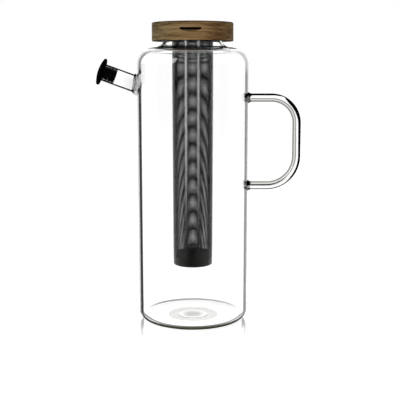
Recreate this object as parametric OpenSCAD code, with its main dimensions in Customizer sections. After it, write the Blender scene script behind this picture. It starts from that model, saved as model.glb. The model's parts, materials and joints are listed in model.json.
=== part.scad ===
// Fruit infuser pitcher: a fused glass body with a tube spout and a rod handle, a hanging steel
// infuser, a turned wooden cap with its gasket, and a ribbed stopper for the spout.
// Millimetres. +Z is up, +X points at the handle and -X at the spout.
// The origin is the middle of the flat base, on the surface that the pitcher stands on.

/* [Glass body] */
// Outer diameter of the glass cylinder
body_d = 105; // [100:1:112]
// Thickness of the glass in the wall, shoulder and neck
wall_t = 2.3; // [2:0.1:3]
// Thickness of the glass floor
floor_t = 2.8; // [2:0.1:5]
// Outer radius of the rounded edge between wall and base
base_corner_r = 10; // [8:0.5:13]
// Height of the top of the shoulder above the base
shoulder_h = 260.8; // [230:0.2:290]
// Outer diameter of the neck
neck_d = 52.8; // [50:0.4:57]
// Radius of the flare between the shoulder and the neck
neck_flare_r = 10.1; // [8:0.1:13]
// Height of the straight part of the neck, from its flare to its rim
neck_straight_h = 3.6; // [3:0.2:6]
// Radius of the outer ring pressed into the floor
floor_ring_outer_r = 23.4; // [20:0.2:30]
// Radius of the inner ring pressed into the floor
floor_ring_inner_r = 14.4; // [8:0.2:18]
// Width of each ring on the floor
floor_ring_w = 2.4; // [1.5:0.1:4]
// Height of each ring on the floor
floor_ring_h = 0.5; // [0.3:0.1:1]

/* [Spout] */
// Outer diameter of the spout tube
spout_d = 16; // [14:0.5:20]
// Thickness of the spout tube
spout_wall_t = 1.7; // [1.2:0.1:2.2]
// Length of the spout along its axis, from the face of the body to its lip
spout_l = 34; // [26:1:50]
// Upward tilt of the spout
spout_tilt = 20; // [5:1:35]
// Drop from the shoulder to the place where the spout's axis meets the body
spout_drop = 34.5; // [30:0.5:60]
// Width by which the spout's root flares beyond the tube, all round
spout_flare_w = 1.8; // [1:0.1:3]
// Length of the flare of the spout's root
spout_root_l = 3.4; // [2:0.2:6]

/* [Handle] */
// Diameter of the solid glass rod
handle_rod_d = 8; // [7:0.5:10]
// Reach of the handle, from the face of the body to the middle of the rod at its outermost
handle_reach = 46.3; // [40:0.1:60]
// Height between the middles of the two arms of the handle
handle_span = 83.6; // [70:0.2:110]
// Radius of the upper bend, at the middle of the rod
handle_upper_bend_r = 24; // [16:1:30]
// Radius of the lower bend, at the middle of the rod
handle_lower_bend_r = 28; // [16:1:34]
// Drop from the shoulder to the middle of the upper arm
handle_drop = 46.8; // [40:0.2:80]
// Width by which the rod flares into each of its two pads, all round
handle_flare_w = 1.6; // [1:0.1:3]
// Length of each pad's flare
handle_pad_l = 4; // [2:0.2:6]

/* [Infuser] */
// Outer diameter of the sleeve at its top
sleeve_top_d = 39; // [36:0.5:41]
// Outer diameter of the sleeve at its bottom, and of the cup
sleeve_bottom_d = 38; // [35:0.5:39]
// Thickness of the perforated sheet
sleeve_t = 0.5; // [0.3:0.1:0.8]
// Height of the infuser's underside above the glass floor
infuser_floor_gap = 50.6; // [30:0.2:120]
// Height of the closed cup below the sleeve
cup_h = 7.7; // [5:0.1:15]
// Thickness of the cup
cup_t = 0.8; // [0.5:0.1:1.5]
// Height of the cup's spigot inside the sleeve
cup_spigot_h = 4; // [2:0.5:8]
// Radius of the cup's bottom edge
cup_edge_r = 1.6; // [1:0.1:3]
// Thickness of the pressed collar that hangs on the glass rim
collar_t = 0.8; // [0.5:0.1:1.2]
// Step that centres the collar inside the neck
collar_step_h = 1.8; // [1.4:0.1:3]
// Height of the collar's skirt inside the sleeve
collar_skirt_h = 5; // [3:0.5:8]

/* [Lid] */
// Diameter of the wooden cap
lid_d = 76.4; // [74:0.4:84]
// Height of the wooden cap
lid_t = 17.3; // [15.5:0.1:19]
// Thickness of the wood over the pocket
lid_roof_t = 6.4; // [5:0.1:8]
// Radius of the cap's upper edge
lid_top_edge_r = 1.4; // [0.8:0.1:2.5]
// Radius of the cap's lower edge
lid_bottom_edge_r = 0.8; // [0.4:0.1:1.5]
// Space between the neck and the wall of the pocket
pocket_gap = 4.1; // [3.6:0.1:4.6]
// Width of the finger recess in the front of the cap
recess_w = 19.4; // [14:0.2:24]
// Height of the finger recess at its middle
recess_h = 4; // [3:0.1:6]
// Height of the finger recess at its blunt ends
recess_end_h = 1.6; // [1:0.1:2.4]
// Height of the deep slot under the ceiling of the finger recess
recess_slot_h = 1.8; // [1:0.1:2.4]
// Depth by which that slot goes beyond the scoop below it
recess_slot_step = 1.2; // [0.5:0.1:1.8]
// Wood left between the finger recess and the pocket
recess_web_t = 2.1; // [1.5:0.1:3]
// Drop from the cap's top to the ceiling of the finger recess
recess_drop = 5.8; // [4:0.1:9]
// Turn of the finger recess from the middle of the front
recess_turn = -2.4; // [-10:0.2:10]

/* [Lid gasket] */
// Thickness of the gasket's pad under the roof of the pocket
gasket_pad_t = 1.6; // [1:0.1:2.5]
// Width of the gasket's pad from the wall of the pocket inwards
gasket_pad_w = 8; // [6:0.5:10]
// Thickness of the gasket's wall inside the pocket
gasket_wall_t = 2.5; // [2:0.1:3]
// Reach of the bead that locks the gasket in its groove
gasket_bead_w = 1; // [0.6:0.1:1.5]
// Height of the bead that locks the gasket in its groove
gasket_bead_h = 1.4; // [1:0.1:2]
// Height of each lip that grips the neck
gasket_lip_h = 1.2; // [0.8:0.1:1.4]

/* [Stopper] */
// Diameter of the stopper's flange
flange_d = 25.6; // [24:0.2:32]
// Thickness of the flange at its edge
flange_t = 3.6; // [3:0.1:6]
// Rise of the domed outer face
flange_dome_h = 1.2; // [0.5:0.1:2.5]
// Width of the rim that turns back round the spout's lip
flange_rim_w = 1.8; // [1.2:0.1:2]
// Height of the rim that turns back round the spout's lip
flange_rim_h = 1.2; // [0.6:0.1:2.5]
// Length of the plug inside the spout
plug_l = 12.5; // [9:0.5:16]
// Depth of the valleys between the plug's ribs
rib_depth = 0.9; // [0.5:0.1:1.5]
// Number of ribs round the plug
rib_count = 4; // [3:1:5]

/* [Hidden] */
$fn = 96;

// Overrun of cutters past the faces that they cut
cut = 1;
// Gap under a hard piece that rests on the glass
seat_gap = 0.2;
// Gap between a soft piece and what it grips or lies on
soft_gap = 0.3;
// Radial gap between the stopper's ribs and the bore of the spout
rib_gap = 0.12;
// Radial gap between the collar's step and the bore of the neck
collar_step_gap = 0.5;
// Inset of the collar's edge from the outside of the neck
collar_inset = 0.4;

body_r = body_d / 2;
base_inner_r = base_corner_r - wall_t;
neck_r = neck_d / 2;
neck_bore_r = neck_r - wall_t;
// The shoulder is rounded from the wall all the way to the neck's flare
shoulder_centre_r = neck_r + neck_flare_r;
shoulder_r = body_r - shoulder_centre_r;
flare_top_z = shoulder_h + neck_flare_r;
rim_z = flare_top_z + neck_straight_h;

spout_r = spout_d / 2;
spout_bore_r = spout_r - spout_wall_t;
spout_z = shoulder_h - spout_drop;

rod_r = handle_rod_d / 2;
handle_top_z = shoulder_h - handle_drop;
handle_bottom_z = handle_top_z - handle_span;
grip_x = body_r + handle_reach;
grip_top_z = handle_top_z - handle_upper_bend_r;
grip_bottom_z = handle_bottom_z + handle_lower_bend_r;

collar_z = rim_z + seat_gap;
collar_top_z = collar_z + collar_t;
collar_shelf_z = collar_z - collar_step_h;
collar_step_r = neck_bore_r - collar_step_gap;
cup_bottom_z = floor_t + infuser_floor_gap;
cup_top_z = cup_bottom_z + cup_h;
cup_r = sleeve_bottom_d / 2;

pocket_r = neck_r + pocket_gap;
pocket_z = collar_top_z + soft_gap + gasket_pad_t;
lid_r = lid_d / 2;
lid_top_z = pocket_z + lid_roof_t;
lid_bottom_z = lid_top_z - lid_t;
recess_z = lid_top_z - recess_drop;
recess_back_r = pocket_r + recess_web_t;
scoop_back_r = recess_back_r + recess_slot_step;

gasket_wall_r = pocket_r - gasket_wall_t;
gasket_lip_r = neck_r + soft_gap;
gasket_bottom_z = flare_top_z + soft_gap;
gasket_grip_h = rim_z - gasket_bottom_z;

flange_r = flange_d / 2;
flange_s = spout_l + seat_gap;
rib_r = spout_bore_r - rib_gap;
plug_core_r = rib_r - rib_depth;
rib_pitch = plug_l / (rib_count + 0.5);

// Outer radius of the tapered sleeve at height z
function sleeve_r(z) =
  cup_r + (sleeve_top_d / 2 - cup_r) * (z - cup_top_z) / (collar_shelf_z - cup_top_z);

// Radius of the arc that starts square to its rise and climbs by rise over a length run
function arc_r(rise, run) = (run * run + rise * rise) / (2 * rise);

// Waste outside a rounded convex corner of radius r, with the corner's tip at the origin
module corner_waste(r) {
  difference() {
    translate([-r, -r]) square(r + cut);
    translate([-r, -r]) circle(r);
  }
}

// Half section of the space inside the glass's outer face, or inside its bore with inset wall_t
module glass_outline(inset, bottom_z, corner_r) {
  outline_r = body_r - inset;
  straight_z = shoulder_h - shoulder_r;
  translate([0, bottom_z]) square([outline_r - corner_r, corner_r]);
  translate([0, bottom_z + corner_r]) square([outline_r, straight_z - bottom_z - corner_r]);
  intersection() {
    translate([outline_r - corner_r, bottom_z + corner_r]) circle(corner_r);
    translate([0, bottom_z]) square([outline_r, corner_r]);
  }
  translate([0, straight_z]) square([shoulder_centre_r, shoulder_r - inset]);
  intersection() {
    translate([shoulder_centre_r, straight_z]) circle(shoulder_r - inset);
    translate([0, straight_z]) square([outline_r, shoulder_r]);
  }
  difference() {
    translate([0, shoulder_h - inset]) square([shoulder_centre_r, neck_flare_r + inset]);
    translate([shoulder_centre_r, flare_top_z]) circle(neck_flare_r + inset);
  }
  translate([0, flare_top_z]) square([neck_r - inset, neck_straight_h - wall_t / 2]);
}

// A low round ring that stands on the glass floor
module floor_ring(r) {
  crown_r = arc_r(floor_ring_h, floor_ring_w / 2);
  intersection() {
    translate([r, floor_t + floor_ring_h - crown_r]) circle(crown_r);
    translate([r - floor_ring_w / 2, floor_t - floor_ring_h]) square([floor_ring_w, 2 * floor_ring_h]);
  }
}

// Places its children so that +Z runs out along the spout from the body's outer face
module on_spout_axis() {
  translate([-body_r, 0, spout_z]) rotate([0, spout_tilt - 90, 0]) children();
}

// A rod, or a tube's outside, whose root flares by flare_w where it meets the body
module flared_root(r, flare_w, root_l) {
  root_r = r + flare_w;
  sweep_r = arc_r(flare_w, root_l);
  rotate_extrude() {
    difference() {
      square([root_r, root_l]);
      translate([r + sweep_r, root_l]) circle(sweep_r);
    }
    translate([0, -root_r]) square([root_r, root_r]);
  }
}

// The solid cylinder that the fused pieces stop against
module body_cylinder() {
  cylinder(r = body_r, h = rim_z);
}

// Blown glass body: flat base, straight wall, round shoulder, flared neck and polished rim
module glass_body() {
  color("azure") difference() {
    rotate_extrude() {
      difference() {
        glass_outline(0, 0, base_corner_r);
        glass_outline(wall_t, floor_t, base_inner_r);
      }
      translate([neck_r - wall_t / 2, rim_z - wall_t / 2]) circle(d = wall_t);
      floor_ring(floor_ring_outer_r);
      floor_ring(floor_ring_inner_r);
    }
    on_spout_axis() translate([0, 0, -spout_d]) cylinder(r = spout_bore_r, h = spout_d + spout_root_l);
  }
}

// Glass tube that slopes up and out of the wall, with a flared root and a polished lip
module spout_tube() {
  color("azure") difference() {
    on_spout_axis() difference() {
      union() {
        flared_root(spout_r, spout_flare_w, spout_root_l);
        translate([0, 0, -spout_r]) cylinder(r = spout_r, h = spout_l + spout_r - spout_wall_t / 2);
        rotate_extrude() translate([spout_r - spout_wall_t / 2, spout_l - spout_wall_t / 2])
          circle(d = spout_wall_t);
      }
      translate([0, 0, -spout_d]) cylinder(r = spout_bore_r, h = spout_l + spout_d - spout_wall_t / 2);
    }
    body_cylinder();
  }
}

// One arm of the handle at height z, out to the start of its bend, with its fused pad
module handle_arm(z, bend_r) {
  translate([body_r, 0, z]) rotate([0, 90, 0]) {
    flared_root(rod_r, handle_flare_w, handle_pad_l);
    cylinder(r = rod_r, h = handle_reach - bend_r);
  }
}

// A quarter bend of the handle beside the height z, from the given angle of the XZ plane
module handle_bend(z, bend_r, from) {
  translate([grip_x - bend_r, 0, z]) rotate([90, 0, 0])
    rotate_extrude(angle = 90, start = from) translate([bend_r, 0]) circle(rod_r);
}

// Solid glass rod bent to a D, with its ends fused to the body
module handle() {
  color("azure") difference() {
    union() {
      handle_arm(handle_top_z, handle_upper_bend_r);
      handle_arm(handle_bottom_z, handle_lower_bend_r);
      handle_bend(grip_top_z, handle_upper_bend_r, 0);
      handle_bend(grip_bottom_z, handle_lower_bend_r, -90);
      translate([grip_x, 0, grip_bottom_z]) cylinder(r = rod_r, h = grip_top_z - grip_bottom_z);
    }
    body_cylinder();
  }
}

// The finger recess: a deep slot under a flat ceiling, and a scoop below it with a bowed lower edge
module finger_recess() {
  half_w = recess_w / 2;
  bow_r = arc_r(recess_h - recess_end_h, half_w);
  scoop_depth = lid_r - scoop_back_r;
  scoop_r = arc_r(scoop_depth, recess_h);
  rotate([0, 0, recess_turn]) intersection() {
    translate([-half_w, -lid_r - cut, recess_z - recess_h]) cube([recess_w, lid_r + cut, recess_h]);
    translate([0, 0, recess_z - recess_h + bow_r]) rotate([90, 0, 0]) cylinder(r = bow_r, h = lid_r + cut);
    union() {
      translate([-recess_w, -lid_r - cut, recess_z - recess_slot_h])
        cube([2 * recess_w, lid_r + cut - recess_back_r, recess_h]);
      translate([-recess_w, -scoop_back_r - scoop_r, recess_z]) rotate([0, 90, 0])
        cylinder(r = scoop_r, h = 2 * recess_w);
    }
  }
}

// Turned wooden cap with a pocket for the neck, a groove for the gasket and a finger recess
module lid_cap() {
  color("peru") difference() {
    rotate_extrude() difference() {
      translate([0, lid_bottom_z]) square([lid_r, lid_t]);
      translate([0, lid_bottom_z - cut]) square([pocket_r, pocket_z - lid_bottom_z + cut]);
      translate([0, gasket_bottom_z]) square([pocket_r + gasket_bead_w, gasket_bead_h]);
      translate([lid_r, lid_top_z]) corner_waste(lid_top_edge_r);
      translate([lid_r, lid_bottom_z]) mirror([0, 1]) corner_waste(lid_bottom_edge_r);
    }
    finger_recess();
  }
}

// Soft ring in the pocket: a pad under the roof, and a wall with two lips that grip the neck
module lid_gasket() {
  lip_pitch = gasket_grip_h - gasket_lip_h;
  color("whitesmoke") rotate_extrude() {
    translate([pocket_r - gasket_pad_w, pocket_z - gasket_pad_t]) square([gasket_pad_w, gasket_pad_t]);
    translate([gasket_wall_r, gasket_bottom_z]) square([gasket_wall_t, pocket_z - gasket_bottom_z]);
    translate([pocket_r, gasket_bottom_z]) square([gasket_bead_w, gasket_bead_h]);
    for (step = [0, 1]) translate([0, gasket_bottom_z + step * lip_pitch])
      polygon([[gasket_wall_r, 0], [gasket_wall_r, gasket_lip_h], [gasket_lip_r, gasket_lip_h / 2]]);
  }
}

// Pressed steel collar: a flange over the glass rim, a step inside the neck and a skirt
module infuser_collar() {
  skirt_bottom_z = collar_shelf_z - collar_skirt_h;
  skirt_top_r = sleeve_r(collar_shelf_z) - sleeve_t;
  skirt_bottom_r = sleeve_r(skirt_bottom_z) - sleeve_t;
  color("silver") rotate_extrude() {
    translate([collar_step_r - collar_t, collar_z])
      square([neck_r - collar_inset - collar_step_r + collar_t, collar_t]);
    translate([collar_step_r - collar_t, collar_shelf_z]) square([collar_t, collar_step_h + collar_t]);
    translate([skirt_top_r - collar_t, collar_shelf_z])
      square([collar_step_r - skirt_top_r + collar_t, collar_t]);
    polygon([
      [skirt_top_r, collar_shelf_z], [skirt_top_r - collar_t, collar_shelf_z],
      [skirt_bottom_r - collar_t, skirt_bottom_z], [skirt_bottom_r, skirt_bottom_z]
    ]);
  }
}

// Sleeve of perforated sheet, slightly tapered, from the cup up to the collar's shelf
module infuser_sleeve() {
  top_r = sleeve_r(collar_shelf_z);
  color("dimgray") rotate_extrude() polygon([
    [cup_r - sleeve_t, cup_top_z], [cup_r, cup_top_z],
    [top_r, collar_shelf_z], [top_r - sleeve_t, collar_shelf_z]
  ]);
}

// Closed cup at the foot of the infuser, flush with the sleeve and with a spigot inside it
module infuser_cup() {
  spigot_top_z = cup_top_z + cup_spigot_h;
  spigot_top_r = sleeve_r(spigot_top_z) - sleeve_t;
  spigot_bottom_r = cup_r - sleeve_t;
  color("dimgray") rotate_extrude() {
    difference() {
      translate([0, cup_bottom_z]) square([cup_r, cup_h]);
      translate([0, cup_bottom_z + cup_t]) square([spigot_bottom_r - cup_t, cup_h]);
      translate([cup_r, cup_bottom_z]) mirror([0, 1]) corner_waste(cup_edge_r);
    }
    polygon([
      [spigot_bottom_r - cup_t, cup_top_z], [spigot_bottom_r, cup_top_z],
      [spigot_top_r, spigot_top_z], [spigot_top_r - cup_t, spigot_top_z]
    ]);
  }
}

// Soft stopper: a domed flange outside the spout and a ribbed plug inside its bore
module spout_stopper() {
  dome_r = arc_r(flange_dome_h, flange_r);
  plug_end_s = flange_s - plug_l;
  color("black") on_spout_axis() rotate_extrude() {
    translate([0, flange_s]) square([flange_r, flange_t]);
    intersection() {
      translate([0, flange_s + flange_t + flange_dome_h - dome_r]) circle(dome_r);
      translate([0, flange_s + flange_t - cut]) square([flange_r, flange_dome_h + cut]);
    }
    translate([flange_r - flange_rim_w, flange_s - flange_rim_h]) square([flange_rim_w, flange_rim_h]);
    translate([0, plug_end_s]) square([plug_core_r, plug_l]);
    for (i = [0 : rib_count - 1]) translate([0, plug_end_s + i * rib_pitch])
      polygon([[0, 0], [plug_core_r, 0], [rib_r, rib_pitch / 2], [plug_core_r, rib_pitch], [0, rib_pitch]]);
  }
}

glass_body();
spout_tube();
handle();
lid_cap();
lid_gasket();
infuser_collar();
infuser_sleeve();
infuser_cup();
spout_stopper();
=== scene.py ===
"""Fruit infuser pitcher: glass, wood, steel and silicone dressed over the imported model's frame."""

import json
import logging
import math
from dataclasses import dataclass
from enum import Enum

import bpy
from mathutils import Matrix, Vector

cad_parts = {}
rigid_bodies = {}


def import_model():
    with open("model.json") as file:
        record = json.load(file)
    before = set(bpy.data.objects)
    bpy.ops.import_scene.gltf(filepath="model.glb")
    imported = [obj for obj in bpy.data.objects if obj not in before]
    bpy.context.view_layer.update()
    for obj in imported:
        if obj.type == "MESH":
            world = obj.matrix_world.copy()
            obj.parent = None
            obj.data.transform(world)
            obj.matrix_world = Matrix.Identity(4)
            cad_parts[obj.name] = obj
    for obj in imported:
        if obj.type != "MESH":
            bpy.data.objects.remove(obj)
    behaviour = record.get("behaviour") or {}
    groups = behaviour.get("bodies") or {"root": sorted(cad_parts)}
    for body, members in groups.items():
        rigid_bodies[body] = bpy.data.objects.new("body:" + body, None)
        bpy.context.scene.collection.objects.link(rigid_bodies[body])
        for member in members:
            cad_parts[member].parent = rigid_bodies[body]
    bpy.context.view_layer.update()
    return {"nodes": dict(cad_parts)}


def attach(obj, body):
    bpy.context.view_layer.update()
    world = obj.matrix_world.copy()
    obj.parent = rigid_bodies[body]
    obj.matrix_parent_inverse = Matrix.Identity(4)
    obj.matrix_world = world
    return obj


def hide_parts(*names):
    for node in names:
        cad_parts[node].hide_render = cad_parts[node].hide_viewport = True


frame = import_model()
log = logging.getLogger("pitcher")

MM = 0.001
MERGE_REACH = 0.002 * MM
SMOOTH_ANGLE = 35.0
INWARD_LEAST = 1e-6
BODY_RADIUS = 52.5 * MM
Point = tuple[float, float]
Stops = tuple[Point, ...]
Triple = tuple[float, float, float]
Colour = tuple[float, float, float, float]
Socket = bpy.types.NodeSocket
Listing = bpy.types.bpy_prop_collection
Material = bpy.types.Material
Piece = bpy.types.Object


class Body(Enum):
    """The moving bodies that pieces ride on."""

    GLASS = "glass"
    INFUSER = "infuser"
    STOPPER = "stopper"


class Domain(Enum):
    """What each number of a mesh attribute belongs to."""

    POINT = "POINT"
    FACE = "FACE"


class Skin(Enum):
    """Which face of the glass a polygon belongs to, kept in the face attribute glass_skin."""

    OUTER = 0.0
    INNER = 1.0

    @staticmethod
    def turns_inward(centre: Vector, normal: Vector) -> bool:
        """Whether a face at some place looks towards the Z axis."""
        return centre.x * normal.x + centre.y * normal.y < -INWARD_LEAST


def grey(value: float) -> Colour:
    """A neutral colour of one linear value."""
    return (value, value, value, 1.0)


def clamp(value: float) -> float:
    """A number kept from 0 to 1."""
    return max(0.0, min(1.0, value))


def arc(centre: Point, radius: float, start: float, end: float, steps: int) -> list[Point]:
    """Points on a circular arc in the half section.

    Args:
        centre: Middle of the arc, as radius and height.
        radius: Radius of the arc.
        start: First angle in degrees, 0 outwards and 90 upwards.
        end: Last angle in degrees.
        steps: Number of chords.

    Returns:
        The points from start to end, both included.
    """
    angles = [math.radians(start + (end - start) * i / steps) for i in range(steps + 1)]
    return [(centre[0] + radius * math.cos(a), centre[1] + radius * math.sin(a)) for a in angles]


def sweep_radius(rise: float, run: float) -> float:
    """Radius of an arc that leaves a straight line, and stands off it by the rise after the run."""
    return (rise**2 + run**2) / (2 * rise)


def between(value: float, stops: Stops) -> float:
    """Read a value off a line through a few stops.

    Args:
        value: The place.
        stops: Places and their values, from low to high.

    Returns:
        The value there, which past either end is that of the last stop.
    """
    for (low, first), (high, second) in zip(stops, stops[1:]):
        if value <= high:
            return first + (second - first) * max(0.0, value - low) / (high - low)
    return stops[-1][1]


class Bench:
    """The modelling operations, each as done by hand."""

    @staticmethod
    def clear_selection() -> None:
        """Leave edit mode and deselect every object."""
        if bpy.context.object and bpy.context.object.mode != "OBJECT":
            bpy.ops.object.mode_set(mode="OBJECT")
        bpy.ops.object.select_all(action="DESELECT")

    @staticmethod
    def pick(piece: Piece) -> None:
        """Make one object the only selected and active one.

        Args:
            piece: The object.
        """
        Bench.clear_selection()
        piece.select_set(True)
        bpy.context.view_layer.objects.active = piece

    @staticmethod
    def take(name: str) -> Piece:
        """Name the primitive that was just added, and apply its place.

        Args:
            name: Its name.

        Returns:
            The object.
        """
        piece = bpy.context.object
        piece.name = piece.data.name = name
        bpy.ops.object.transform_apply(location=True, rotation=True, scale=True)
        return piece

    @staticmethod
    def open_mesh(piece: Piece) -> None:
        """Go into edit mode with the whole mesh of one object selected.

        Args:
            piece: The object.
        """
        Bench.pick(piece)
        bpy.ops.object.mode_set(mode="EDIT")
        bpy.ops.mesh.select_all(action="SELECT")

    @staticmethod
    def close_mesh() -> None:
        """Merge doubles, turn every face outwards and leave edit mode."""
        bpy.ops.mesh.select_all(action="SELECT")
        bpy.ops.mesh.remove_doubles(threshold=MERGE_REACH)
        bpy.ops.mesh.normals_make_consistent(inside=False)
        bpy.ops.object.mode_set(mode="OBJECT")

    @staticmethod
    def lathe(name: str, outline: list[Point], steps: int) -> Piece:
        """Draw a half section by extruding a point, and spin it round the Z axis.

        Args:
            name: Name of the new object.
            outline: The closed half section as radius and height, or one that starts and ends on the axis.
            steps: Number of steps in the full turn.

        Returns:
            The closed object, at the origin.
        """
        Bench.clear_selection()
        bpy.ops.mesh.primitive_plane_add(size=MM)
        piece = Bench.take(name)
        Bench.open_mesh(piece)
        bpy.ops.mesh.merge(type="CENTER")
        last = Vector((outline[0][0], 0.0, outline[0][1]))
        bpy.ops.transform.translate(value=last)
        for radius, height in outline[1:]:
            place = Vector((radius, 0.0, height))
            bpy.ops.mesh.extrude_region_move(TRANSFORM_OT_translate={"value": place - last})
            last = place
        bpy.ops.mesh.select_all(action="SELECT")
        bpy.ops.mesh.spin(steps=steps, angle=math.tau, center=(0, 0, 0), axis=(0, 0, 1))
        Bench.close_mesh()
        return piece

    @staticmethod
    def place(piece: Piece, place: Matrix) -> None:
        """Move a piece and apply the move to its mesh.

        Args:
            piece: The object.
            place: Where it goes.
        """
        Bench.pick(piece)
        piece.matrix_world = place @ piece.matrix_world
        bpy.ops.object.transform_apply(location=True, rotation=True, scale=True)

    @staticmethod
    def modify(piece: Piece, kind: str, **settings: object) -> None:
        """Add a modifier to the active object and apply it.

        Args:
            piece: The object.
            kind: The modifier's type.
            settings: Its settings.
        """
        modifier = piece.modifiers.new(kind.lower(), kind)
        for key, value in settings.items():
            setattr(modifier, key, value)
        bpy.ops.object.modifier_apply(modifier=modifier.name)

    @staticmethod
    def values(piece: Piece, domain: Domain, *names: str) -> list[Listing]:
        """Let a mesh carry some numbers for its material.

        Args:
            piece: The object.
            domain: What each number belongs to.
            names: The attributes' names.

        Returns:
            Each attribute's values.
        """
        for name in names:
            piece.data.attributes.new(name, "FLOAT", domain.value)
        return [piece.data.attributes[name].data for name in names]

    @staticmethod
    def dress(piece: Piece, material: Material) -> None:
        """Give a piece one material all over.

        Args:
            piece: The object.
            material: The material.
        """
        if not piece.material_slots:
            piece.data.materials.append(material)
        for material_slot in piece.material_slots:
            material_slot.material = material

    @staticmethod
    def finish(piece: Piece, material: Material, angle: float = SMOOTH_ANGLE) -> Piece:
        """Shade a piece smooth, apart from its sharp edges, and dress it.

        Args:
            piece: The object.
            material: The material.
            angle: How sharp an edge has to be to stay, in degrees.

        Returns:
            The piece.
        """
        Bench.pick(piece)
        bpy.ops.object.shade_smooth_by_angle(angle=math.radians(angle))
        Bench.dress(piece, material)
        return piece


class Tree:
    """A shader node tree that is filled node by node."""

    def __init__(self, owner: Material | bpy.types.World, output: str = "OutputMaterial") -> None:
        """Empty the node tree of a material or a world.

        Args:
            owner: The material or world.
            output: The type of its output node, without ShaderNode.
        """
        owner.use_nodes = True
        self.owner = owner
        self.tree = owner.node_tree
        self.tree.nodes.clear()
        self.output = self.add(output)

    def add(self, kind: str, inputs: dict | None = None, **settings: object) -> bpy.types.Node:
        """Add a node.

        Args:
            kind: The node's type, without ShaderNode.
            inputs: Values for its inputs, or the output sockets that feed them.
            settings: The node's own settings.

        Returns:
            The node.
        """
        node = self.tree.nodes.new("ShaderNode" + kind)
        for key, value in settings.items():
            setattr(node, key, value)
        for key, value in (inputs or {}).items():
            if isinstance(value, Socket):
                self.tree.links.new(value, node.inputs[key])
            else:
                node.inputs[key].default_value = value
        return node

    def read(self, kind: str, output: str | int, inputs: dict | None = None, **settings: object) -> Socket:
        """Add a node and hand over one of its outputs."""
        return self.add(kind, inputs, **settings).outputs[output]

    def finish(self, shader: str, inputs: dict) -> Material | bpy.types.World:
        """Add the last shader and link it to the surface.

        Args:
            shader: The shader node's type, without ShaderNode.
            inputs: Its inputs.

        Returns:
            The finished material or world.
        """
        self.tree.links.new(self.read(shader, 0, inputs), self.output.inputs["Surface"])
        return self.owner

    def place(self) -> Socket:
        """The point on the piece, in metres."""
        return self.read("TexCoord", "Object")

    def split(self, vector: Socket) -> Listing:
        """The X, Y and Z of a vector."""
        return self.add("SeparateXYZ", {0: vector}).outputs

    def facing(self) -> Socket:
        """How far the surface turns away from the ray, from 0 face on to 1 edge on."""
        return self.read("LayerWeight", "Facing", {"Blend": 0.5})

    def within(self) -> Socket:
        """Whether the ray meets the surface from inside the piece."""
        return self.read("NewGeometry", "Backfacing")

    def attribute(self, name: str) -> Socket:
        """Read a number that the mesh carries."""
        return self.read("Attribute", "Fac", attribute_name=name)

    def after(self, depth: str) -> Socket:
        """Whether the ray has met a surface of one kind before, named as Light Path's depth."""
        return self.maths("MINIMUM", self.read("LightPath", depth), 1.0)

    def length(self, vector: Socket) -> Socket:
        """The length of a vector."""
        return self.read("VectorMath", "Value", {0: vector}, operation="LENGTH")

    def maths(self, operation: str, *values: object, clamped: bool = False) -> Socket:
        """Add a math node, with numbers or sockets for its inputs."""
        return self.read("Math", "Value", dict(enumerate(values)), operation=operation, use_clamp=clamped)

    def less(self, first: object, second: object) -> Socket:
        """The first number less the second."""
        return self.maths("SUBTRACT", first, second)

    def chain(self, operation: str, result: object, *values: object) -> Socket:
        """Join two or more numbers, one after another.

        Args:
            operation: How two are joined.
            result: The first number or socket.
            values: The others.

        Returns:
            The last result's socket.
        """
        for value in values:
            result = self.maths(operation, result, value)
        return result

    def plus(self, *values: object) -> Socket:
        """The sum of two or more numbers."""
        return self.chain("ADD", *values)

    def times(self, *values: object) -> Socket:
        """The product of two or more numbers."""
        return self.chain("MULTIPLY", *values)

    def span(self, value: Socket, low: float, high: float, first: float = 0.0, last: float = 1.0) -> Socket:
        """A number that runs from first to last while another runs from low to high."""
        limits = {"From Min": low, "From Max": high, "To Min": first, "To Max": last}
        return self.read("MapRange", "Result", {"Value": value, **limits})

    def mix(self, factor: object, first: object, second: object, blend: str = "MIX") -> Socket:
        """Mix two colours, with the second colour's share as factor."""
        inputs = {0: factor, 6: first, 7: second}
        return self.read("Mix", 2, inputs, data_type="RGBA", blend_type=blend)

    def ramp(self, factor: Socket, *stops: tuple[float, Colour]) -> Socket:
        """Add a colour ramp.

        Args:
            factor: What drives it.
            stops: Places and colours, from low to high.

        Returns:
            Its colour socket.
        """
        node = self.add("ValToRGB", {"Fac": factor})
        elements = node.color_ramp.elements
        while len(elements) < len(stops):
            elements.new(0.5)
        for element, (place, colour) in zip(elements, stops):
            element.position = place
            element.color = colour
        return node.outputs["Color"]

    def fade(self, factor: Socket, *stops: Point) -> Socket:
        """Add a grey ramp, with places and values from low to high."""
        return self.ramp(factor, *((place, grey(value)) for place, value in stops))

    def along(self, value: Socket, low: float, high: float, stops: Stops) -> Socket:
        """A grey ramp over the stretch from low to high, with its stops' places in the value's own unit."""
        shares = (((place - low) / (high - low), level) for place, level in stops)
        return self.fade(self.span(value, low, high), *shares)

    def noise(self, place: Socket, frequency: Triple, detail: float = 3.0) -> Socket:
        """Noise with a frequency along each axis, per metre."""
        drawn = self.read("Mapping", "Vector", {"Vector": place, "Scale": frequency})
        return self.read("TexNoise", "Fac", {"Vector": drawn, "Scale": 1.0, "Detail": detail})

    def bump(self, height: Socket, strength: float, distance: float) -> Socket:
        """The normal of a fine relief."""
        return self.read("Bump", "Normal", {"Height": height, "Strength": strength, "Distance": distance})


def turned(share: float) -> float:
    """Layer Weight's facing value where a ray passes a round face's axis at a share of its radius."""
    return 1 - math.sqrt(1 - share**2)


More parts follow.
